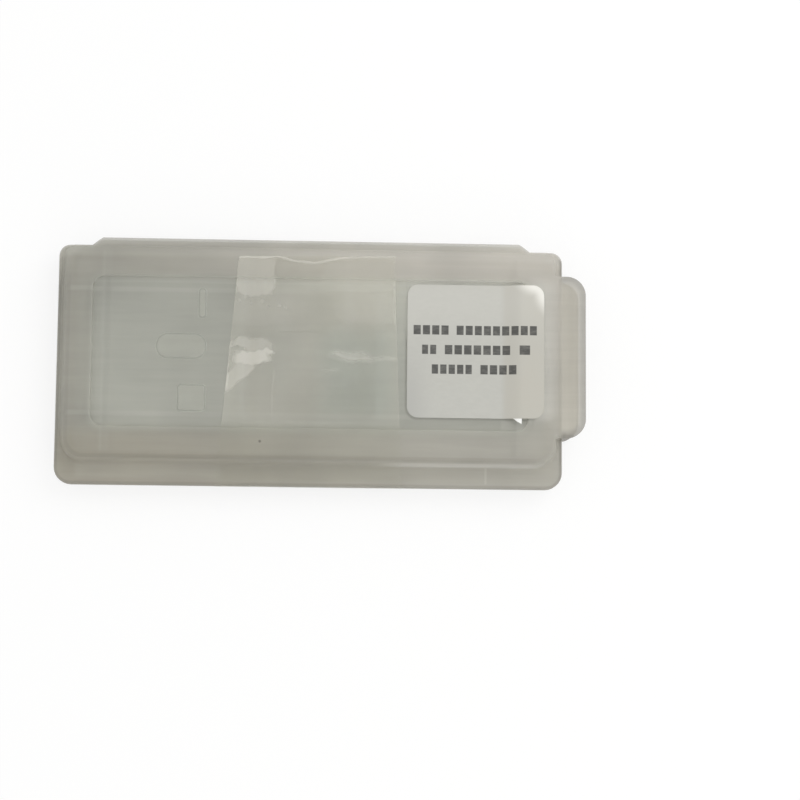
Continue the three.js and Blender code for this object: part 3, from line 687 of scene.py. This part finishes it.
def makeLabel(spec):
    # Rows run along X. A row's ends move in near the corners by the corner circle's sagitta.
    across, along = ((1 - np.cos(np.linspace(0, np.pi, spec[count]))) / 2 for count in ("rows", "columns"))
    y = labelLow.y + across * (labelHigh.y - labelLow.y)
    edge = np.minimum(y - labelLow.y, labelHigh.y - y)
    reach = np.clip(labelCorner - edge, 0, labelCorner)
    inset = labelCorner - np.sqrt(labelCorner ** 2 - reach ** 2)
    x = labelLow.x + inset[:, None] + along[None, :] * (labelHigh.x - labelLow.x - 2 * inset[:, None])
    y = np.repeat(y[:, None], spec["columns"], 1)
    lift, height = labelHeight(x, spec)
    # Two slow waves, as a cut sheet is never quite flat. They die out where it reaches the face.
    (slantX, slantY), (cross, start) = spec["slantWave"], spec["crossWave"]
    wave = 1 + np.sin(x * slantX + y * slantY) * np.sin(y * cross + start)
    wave = spec["wave"] * (1 - lift) * wave
    lower = np.stack([x, y, height + wave], -1)
    return makeSheet("labelSheet", lower + np.array([0, 0, spec["thickness"]]), lower)


def printMask(tree, axes, spec):
    # Bars are cut from each group by gaps. The distance to the nearest gap's middle is a triangle
    # wave that is 0 there.
    ink = 0
    halfGap, soft = spec["barGap"] / 2, spec["inkSoft"]
    for height, groups in spec["print"]:
        foot = labelMiddle.y + height * mm - spec["barHeight"] / 2
        for start, end, count in groups:
            low, high = labelMiddle.x + start * mm, labelMiddle.x + end * mm
            group = boxMask(tree, axes, (low, foot), (high, foot + spec["barHeight"]), soft)
            pitch = (high - low + spec["barGap"]) / count
            gap = calc(tree, "PINGPONG", calc(tree, "SUBTRACT", axes[0], low - halfGap), pitch / 2)
            bars = ramp(tree, gap, halfGap - soft, halfGap + soft)
            ink = calc(tree, "MAXIMUM", ink, product(tree, group, bars))
    return ink


def makePaper(spec):
    material, tree, shader, place = newMaterial("labelPaper")
    axes = splitAxes(tree, place)
    fibre = noise(tree, place, *spec["fibre"])
    cloud = noise(tree, place, *spec["cloud"])
    outline = roundBoxDistance(tree, axes, labelLow, labelHigh, labelCorner)
    diagonal = calc(tree, "SUBTRACT", calc(tree, "ADD", axes[0], axes[1]), labelHigh.x + labelHigh.y)
    # Painted highlight on the curled corner.
    curl = product(tree, ramp(tree, outline, *spec["curlHighlightIn"]), ramp(tree, diagonal, *spec["curlHighlightAcross"]))
    colour = mixColour(tree, vary(tree, fibre), *spec["paper"])
    # Painted shade where the label tilts up to the face.
    colour = mixColour(tree, ramp(tree, axes[0], *spec["tiltShadeAlong"]), colour, spec["tiltShadeColour"])
    colour = mixColour(tree, ramp(tree, cloud, *spec["cloudRange"]), colour, spec["cloudColour"])
    colour = mixColour(tree, curl, colour, spec["curlHighlightColour"])
    # Painted shade at the far corner, painted light towards the hinge.
    colour = mixColour(tree, areaMask(tree, axes, **spec["dim"]), colour, spec["dimColour"])
    colour = mixColour(tree, ramp(tree, axes[1], *spec["shineAcross"]), colour, spec["shineColour"])
    cover = product(tree, printMask(tree, axes, spec), ramp(tree, fibre, *spec["inkCover"]))
    setInputs(shader, {
        "Base Color": mixColour(tree, cover, colour, spec["ink"]), **surfaceOf(tree, fibre, spec)})
    finishSurface(tree, shader.outputs[0], spec["shadeTint"])
    return material


# A small white paper flap under the label's front edge, a piece put there for a painted glint.
glintFlap = dict(
    # Its corners in millimetres from the label's corner by the tab and the front.
    corners=[(-5.25, 0.12), (-3.6, 0.12), (-3.95, -0.74), (-3.66, -0.9)],
    thickness=0.05 * mm,
    sunk=0.002 * mm,  # how far it lies below the label
    curl=0.03 * mm,
    ragged=0.06 * mm,  # how far its torn edge wanders
    tear=7,  # radians of that from end to end
    steps=24,
    paper=[(0.9, 0.9, 0.87, 1), (0.97, 0.97, 0.94, 1)],
    fibre=(1500, 3),
    relief=(0.2, 0.02 * mm),
    roughness=(0.25, 0.4),
)


def makeGlintFlap(spec):
    # Bilinear between four corners, one edge torn along a sine, and curled up by the square of v.
    part = np.linspace(0, 1, spec["steps"])
    u, v = np.meshgrid(part, part)
    shares = np.stack([(1 - u) * (1 - v), u * (1 - v), (1 - u) * v, u * v], -1)
    place = shares @ np.array(spec["corners"]) * mm
    torn = spec["ragged"] * np.sin(np.pi * v) * np.sin(spec["tear"] * v) * (1 - u)
    x = labelHigh.x + place[:, :, 0] + torn
    y = labelLow.y + place[:, :, 1]
    z = labelHeight(x, labelSheet)[1] + spec["curl"] * v ** 2 - spec["sunk"]
    lower = np.stack([x, y, z], -1)[::-1]
    return makeSheet("glintFlap", lower + np.array([0, 0, spec["thickness"]]), lower)


def makeGlintPaper(spec):
    material, tree, shader, place = newMaterial("glintPaper")
    fibre = noise(tree, place, *spec["fibre"])
    setInputs(shader, {
        "Base Color": mixColour(tree, vary(tree, fibre), *spec["paper"]), **surfaceOf(tree, fibre, spec)})
    return material


glintPiece = makeGlintFlap(glintFlap)
glintPiece.data.materials.append(makeGlintPaper(glintFlap))
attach(glintPiece, "root")

label = makeLabel(labelSheet)
label.data.materials.append(makePaper(labelSheet))
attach(label, "root")
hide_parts("case_label")
print("label made")


# The clear tape. Its path runs in the YZ plane from its end on the lid round the front to its end on
# the base. Where it has lifted off the plastic there is air under it, painted paler, which also stands for
# a painted sheen off the lifted film.
tapeFilm = dict(
    thickness=0.05 * mm,
    gap=0.01 * mm,  # of glue between film and plastic
    standOff=0.06 * mm,  # between film and plastic at the front and at the rim
    fieldEdge=11.9 * mm,  # half the recessed field's width, less its rounded edge
    bridge=2.4 * mm,  # how far the film bridges from the field's edge
    frontEdge=0.5 * mm,  # radius of the face's front edge
    rimEdge=0.2 * mm,
    rimReach=3.7 * mm,  # from the face's front edge to the rim's
    rimHeight=1 * mm,  # from the meeting plane to the rim's top
    farSpread=3.4 * mm,  # how far the edge away from the tabs spreads out by the front
    tabSpread=1.4 * mm,  # and the edge towards the tabs
    endSlant=0.4 * mm,  # how far the end on the lid runs out of square
    slantLength=4 * mm,  # and over what length that evens out
    lidSteps=215,
    baseSteps=75,
    columns=165,
    haze=0.24,  # of air all over the field, where the film isn't pressed down
    hazeEdge=(-1 * mm, 0.5 * mm),  # where it ends, from the field's edge
    lift=0.03 * mm,  # how far air holds the film off the face
    liftAir=(0.7, 1.05),  # by the strength of the air
    fieldLift=2,  # times as much more over the field
    # Patches of air: middle and half size in millimetres from the far corner of the end on the lid,
    # turn in degrees, how square they are, softness and strength.
    patches=[
        (2.7, 3.3, 3.2, 3.3, 0, 6, 0.14, 0.45),
        (4.6, 8.4, 6.4, 3, 0, 3, 0.35, 0.17),
        (19.6, 3.1, 5.6, 2.5, 0, 5, 0.16, 0.21),
        (20.4, 8.2, 5, 2.6, 0, 4, 0.3, 0.22),
        (16.4, 8.3, 1.7, 2.5, 0, 3, 0.5, -0.07),
        (13.3, 11.8, 1.8, 0.8, -8, 2, 0.5, -0.08),
        (2.4, 15.3, 3.4, 2, 4, 3, 0.22, 0.4),
        (2.3, 16.6, 2.9, 1.15, -6, 3, 0.3, 0.82),
        (4.9, 15.6, 1.1, 0.55, 0, 1.4, 0.4, 0.74),
        (0, 15.2, 1.1, 0.32, 6, 2, 0.5, -0.4),
        (-0.2, 19.5, 3.7, 1.35, -42, 2.4, 0.25, 0.5),
        (18.6, 16.2, 3.8, 0.9, 5, 2, 0.6, 0.31),
        (23.6, 16.5, 3.4, 0.5, 2, 2, 0.6, 0.16),
        (15.2, 18.6, 2, 0.4, 0, 2, 0.6, 0.12),
        (1.6, 22, 5.6, 4.4, 0, 5, 0.15, 0.07),
        (10.8, 16, 4.6, 6.2, 0, 3, 0.6, 0.12),
        (20, 23.4, 5, 3.4, 0, 3, 0.6, -0.07),
    ],
    # Creases: points in the same millimetres, half width and strength.
    creases=[
        ([(-0.5, 0.15), (6.6, 0.15), (9.1, 0.8), (12.1, 1.1), (14.6, 0.7), (17.6, 0.2), (25.6, 0.12)],
         0.17, 0.8),
        ([(15.6, 15.6), (17.4, 16.3), (20, 16.6), (23.1, 16.3), (26.3, 16.5)], 0.2, 0.1),
        ([(13.4, 18.5), (16.1, 18.4)], 0.12, 0.16),
        ([(6.6, 12.3), (11.8, 12.3)], 0.11, -0.16),
        ([(6.2, 17.8), (5.6, 22), (5.9, 30)], 0.12, 0.1),
        ([(25.15, 0.2), (25.25, 6), (25.4, 11)], 0.14, 0.18),
    ],
    creaseFade=(0.4, 1.6),  # where a crease starts and ends to fade, in half widths
    # Waves: their height, and the share, radians per millimetre along X and Y and start of each.
    wanderX=(0.18, [(1, 0.6, 1.9, 0), (0.5, 0, 4.7, 0)]),  # of the patches' outlines
    wanderY=(0.16, [(1, 1.6, 0, 1), (0.5, 5.3, 1, 0)]),
    wanderCrease=(0.04, [(1, 1.3, 0, 0)]),
    drawLines=(0.025, [(1, 3.1, 0.4, 0), (0.6, 7.3, 0, 1.1)]),
    drawSway=0.7,  # the draw lines sway by a sine of Y times this
    # Bubbles along a line. Their shift, half sizes, turn and strength swing by a sine of their
    # number: middle, height, step and start.
    bubbles=dict(start=(-0.8, 6.9), end=(7.6, 8.1), spacing=0.8, size=0.3, strength=0.3, fade=0.4,
                 swings=[(0, 0.4, 2.4, 0), (0.8, 0.4, 1.7, 0), (1.3, 0.6, 2.9, 1), (0, 20, 1.3, 0),
                         (0.6, 0.3, 2.3, 1.2)],
                 square=2, soft=0.6),
    edgeLift=dict(start=12.5 * mm, end=22.5 * mm, fade=2 * mm, width=0.22 * mm, strength=0.55),
    clearTint=(0.985, 0.985, 0.975, 1),
    gloss=0.8,  # share of what a clean film would mirror
    glossRoughness=0.1,
    ior=1.47,
    ripple=(110, 1, 0.4, (0.6, 1, 1)),
    relief=(0.15, 0.25 * mm),
    drawn=(380, 2, 0.5, (1, 0.06, 0.06)),
    deep=(0.72, 0.7, 0.62, 1),
    pale=(0.77, 0.75, 0.68, 1),
    paleRoughness=0.25,
    airAndSheenShow=0.62,
    filmShow=0.02,  # paleness where there is no air
)


def tapeCorners(spec):
    # Half the path by its corner points, from the end on the lid to the meeting plane. The other
    # half is its mirror image.
    middle, fieldEdge, standOff = slideMiddle.y, spec["fieldEdge"], spec["standOff"]
    meeting = (caseLow.z + caseHigh.z) / 2
    rimTop = meeting + spec["rimHeight"]
    top = faceTop + spec["gap"]
    field = fieldFloor + spec["gap"]
    front = caseLow.y + spec["rimReach"]
    corners = np.array([
        [tapeHigh.y, top],
        [middle + fieldEdge, top],
        [middle + fieldEdge - spec["bridge"], field],
        [middle - fieldEdge + spec["bridge"], field],
        [middle - fieldEdge, top],
        [front + spec["frontEdge"], top],
        [front - standOff, top - spec["frontEdge"]],
        [caseLow.y + spec["rimEdge"], rimTop + standOff],
        [caseLow.y - standOff, rimTop - spec["rimEdge"]],
        [caseLow.y - standOff, meeting],
    ])
    mirrored = corners[-2::-1] * [1, -1] + [0, 2 * meeting]
    return np.concatenate([corners, mirrored])


def patchMask(x, y, patch):
    # A superellipse: its reach is the n-th root of the sum of the n-th powers of both shares.
    centreX, centreY, halfX, halfY, turn, square, soft, strength = patch
    angle = np.radians(turn)
    across = ((x - centreX) * np.cos(angle) + (y - centreY) * np.sin(angle)) / halfX
    along = ((y - centreY) * np.cos(angle) - (x - centreX) * np.sin(angle)) / halfY
    reach = (np.abs(across) ** square + np.abs(along) ** square) ** (1 / square)
    return strength * (1 - smoothStep(reach, 1 - soft, 1 + soft))


def creaseMask(x, y, fade, points, half, strength):
    # The distance to the nearest of the line's pieces, faded out round the half width.
    nearest = np.full(x.shape, np.inf)
    for (x0, y0), (x1, y1) in zip(points, points[1:]):
        runX, runY = x1 - x0, y1 - y0
        along = np.clip(((x - x0) * runX + (y - y0) * runY) / (runX ** 2 + runY ** 2), 0, 1)
        nearest = np.minimum(nearest, np.hypot(x - x0 - along * runX, y - y0 - along * runY))
    return strength * (1 - smoothStep(nearest, half * fade[0], half * fade[1]))


def bubbleMasks(x, y, row):
    (x0, y0), (x1, y1) = row["start"], row["end"]
    count = int(np.hypot(x1 - x0, y1 - y0) / row["spacing"])
    total = 0
    for i in range(count):
        part = i / (count - 1)
        shift, halfX, halfY, turn, shown = (
            middle + height * np.sin(step * i + start) for middle, height, step, start in row["swings"])
        bubble = (x0 + part * (x1 - x0), y0 + part * (y1 - y0) + shift, row["size"] * halfX,
                  row["size"] * halfY, turn, row["square"], row["soft"],
                  row["strength"] * shown * (1 - row["fade"] * part))
        total = total + patchMask(x, y, bubble)
    return total


def waveSum(x, y, height, parts):
    return height * sum(share * np.sin(turnX * x + turnY * y + start)
                        for share, turnX, turnY, start in parts)


def airUnderTape(x, y, spec):
    # The strongest of the patches, less the dark ones, with creases, draw lines and bubbles added.
    patchX = x + waveSum(x, y, *spec["wanderX"])
    patchY = y + waveSum(x, y, *spec["wanderY"])
    masks = np.stack([patchMask(patchX, patchY, patch) for patch in spec["patches"]])
    air = masks.max(0) + np.minimum(masks, 0).sum(0)
    creaseY = y + waveSum(x, y, *spec["wanderCrease"])
    air = air + sum(creaseMask(x, creaseY, spec["creaseFade"], *crease) for crease in spec["creases"])
    draw = waveSum(x, np.sin(spec["drawSway"] * y), *spec["drawLines"])
    return air * (1 + draw) + bubbleMasks(x, y, spec["bubbles"])


def makeTape(spec):
    # The corner points' path at even steps s, spread in X from the far edge to the tab edge by w.
    # Air pushes a point out along the path's normal.
    corners = tapeCorners(spec)
    length = np.concatenate([[0], np.cumsum(np.hypot(*np.diff(corners, axis=0).T))])
    total = length[-1]
    s = np.concatenate([np.linspace(0, total / 2, spec["lidSteps"], endpoint=False),
                        np.linspace(total / 2, total, spec["baseSteps"])])
    path = np.stack([np.interp(s, length, corners[:, axis]) for axis in range(2)], -1)
    # Outward is the path's direction turned a quarter clockwise, seen from the end without tabs.
    tangent = np.gradient(path, s, axis=0)
    outward = np.stack([tangent[:, 1], -tangent[:, 0]], -1) / np.linalg.norm(tangent, axis=1)[:, None]
    fromFront = np.abs(s / total - 0.5) * 2
    farEdge = (tapeLow.x + spec["farSpread"] * fromFront)[:, None]
    tabEdge = (tapeHigh.x - spec["tabSpread"] * fromFront)[:, None]
    w = np.linspace(1, 0, spec["columns"])
    x = farEdge + (tabEdge - farEdge) * w
    y = path[:, :1] + spec["endSlant"] * w * (1 - smoothStep(s, 0, spec["slantLength"]))[:, None]
    z = np.repeat(path[:, 1:], spec["columns"], 1)
    # The air is laid out flat over the lid, so the base's half of the path has none.
    onLid = (s < total / 2)[:, None]
    hazeEnd = [spec["fieldEdge"] + edge for edge in spec["hazeEdge"]]
    inField = 1 - smoothStep(np.abs(y - slideMiddle.y), *hazeEnd)
    flatX = (x - tapeLow.x - spec["farSpread"]) / mm
    flatY = np.repeat(s[:, None] / mm, spec["columns"], 1)
    loose = spec["edgeLift"]
    free = (smoothStep(s, loose["start"], loose["start"] + loose["fade"])
            - smoothStep(s, loose["end"] - loose["fade"], loose["end"]))[:, None]
    nearEdge = np.exp(-((x - farEdge) / loose["width"]) ** 2)
    air = airUnderTape(flatX, flatY, spec) + spec["haze"] * inField + loose["strength"] * free * nearEdge
    air = np.clip(air, 0, 1) * onLid
    rise = smoothStep(air, *spec["liftAir"]) * spec["lift"] * (1 + spec["fieldLift"] * inField)
    offset = np.concatenate([np.zeros((len(s), 1)), outward], 1)[:, None, :]
    lower = np.stack([x, y, z], -1) + offset * rise[:, :, None]
    upper = lower + offset * spec["thickness"]
    return makeSheet("tapeFilm", upper, lower, {"airAndSheen": air})


def makeFilm(spec):
    # Clear where it sticks. Only its outer side mirrors, so light passes it unchanged from inside.
    material, tree, shader, place = newMaterial("tapeFilm")
    air = addNode(tree, "Attribute", attribute_name="airAndSheen")["Fac"]
    inner = addNode(tree, "NewGeometry")["Backfacing"]
    outside = calc(tree, "SUBTRACT", 1, inner)
    ripple = bump(tree, noise(tree, place, *spec["ripple"]), *spec["relief"])
    gloss = addNode(tree, "BsdfGlossy", {
        "Color": (1, 1, 1, 1), "Roughness": spec["glossRoughness"], "Normal": ripple})[0]
    bend = addNode(tree, "Fresnel", {"IOR": spec["ior"], "Normal": ripple})[0]
    mirror = product(tree, bend, outside, spec["gloss"])
    film = mixShaders(tree, mirror, clearShader(tree, spec["clearTint"]), gloss)
    drawn = noise(tree, place, *spec["drawn"])
    setInputs(shader, {
        "Base Color": mixColour(tree, vary(tree, drawn), spec["deep"], spec["pale"]),
        "Roughness": spec["paleRoughness"], "Normal": ripple})
    # Painted paleness of the air, which also stands for a painted sheen.
    patch = product(tree, calc(tree, "MULTIPLY_ADD", air, spec["airAndSheenShow"], spec["filmShow"]), outside)
    finishSurface(tree, mixShaders(tree, patch, film, shader.outputs[0]), (1, 1, 1, 1))
    return material


tape = makeTape(tapeFilm)
tape.data.materials.append(makeFilm(tapeFilm))
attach(tape, "root")
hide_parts("tape_strip")
print("tape made,", len(tape.data.polygons), "faces")


# Floor, light and camera.
stage = dict(
    floorSize=3,
    floorColour=(0.86, 0.86, 0.85, 1),
    floorRoughness=0.9,
    floorShare=0.75,  # what the camera sees is this much glow and the rest lit floor
    floorGlow=1.05,
    worldLight=0.8,  # what the world gives as light
    worldSeen=1,  # and how bright it looks
    key=dict(place=(0.26, 0.2, 0.34), size=0.36, power=0.55),
    fill=dict(place=(0.1, -0.35, 0.2), size=0.12, power=0.12),
)


def seenByEye(tree):
    # 1 for rays from the camera, and for what mirrors and glass show.
    path = addNode(tree, "LightPath")
    seen = calc(tree, "MAXIMUM", path["Is Camera Ray"], path["Is Glossy Ray"])
    return calc(tree, "MAXIMUM", seen, path["Is Transmission Ray"])


def makeFloor(spec):
    corners = np.array([(-1, -1, 0), (1, -1, 0), (1, 1, 0), (-1, 1, 0)]) * spec["floorSize"] / 2
    floor = addPiece("floor", corners, [(0, 1, 2, 3)], [False])
    material, tree, shader, _ = newMaterial("floorPaper")
    setInputs(shader, {
        "Base Color": spec["floorColour"], "Roughness": spec["floorRoughness"], "Specular IOR Level": 0})
    glow = addNode(tree, "Emission", {"Color": (1, 1, 1, 1), "Strength": spec["floorGlow"]})
    share = product(tree, seenByEye(tree), spec["floorShare"])
    showSurface(tree, mixShaders(tree, share, shader.outputs[0], glow[0]))
    floor.data.materials.append(material)


def makeLight(spec):
    world = bpy.data.worlds.new("studio")
    world.use_nodes = True
    bpy.context.scene.world = world
    tree = world.node_tree
    strength = ramp(tree, seenByEye(tree), 0, 1, spec["worldLight"], spec["worldSeen"])
    setInputs(tree.nodes["Background"], {"Color": (1, 1, 1, 1), "Strength": strength})
    for name in ("key", "fill"):
        lamp = bpy.data.lights.new(name, "AREA")
        lamp.shape = "DISK"
        lamp.size = spec[name]["size"]
        lamp.energy = spec[name]["power"]
        stand = addObject(name, lamp)
        stand.location = spec[name]["place"]
        stand.rotation_euler = (-stand.location).to_track_quat("-Z", "Y").to_euler()


camera = dict(
    place=(-3.88 * mm, -47.55 * mm, 352.86 * mm),
    turn=(6.795, -2.797, 0.499),  # degrees about X, Y and Z
    lens=97.37,  # millimetres, as the sensor is
    sensor=36,
    reach=(0.01, 10),
)


def makeCamera(spec):
    data = bpy.data.cameras.new("camera")
    data.lens = spec["lens"]
    data.sensor_width = spec["sensor"]
    data.clip_start, data.clip_end = spec["reach"]
    eye = addObject("camera", data)
    eye.location = spec["place"]
    eye.rotation_euler = np.radians(spec["turn"])
    bpy.context.scene.camera = eye


makeFloor(stage)
makeLight(stage)
makeCamera(camera)
bpy.context.scene.view_settings.view_transform = "Standard"
print("stage, light and camera made")
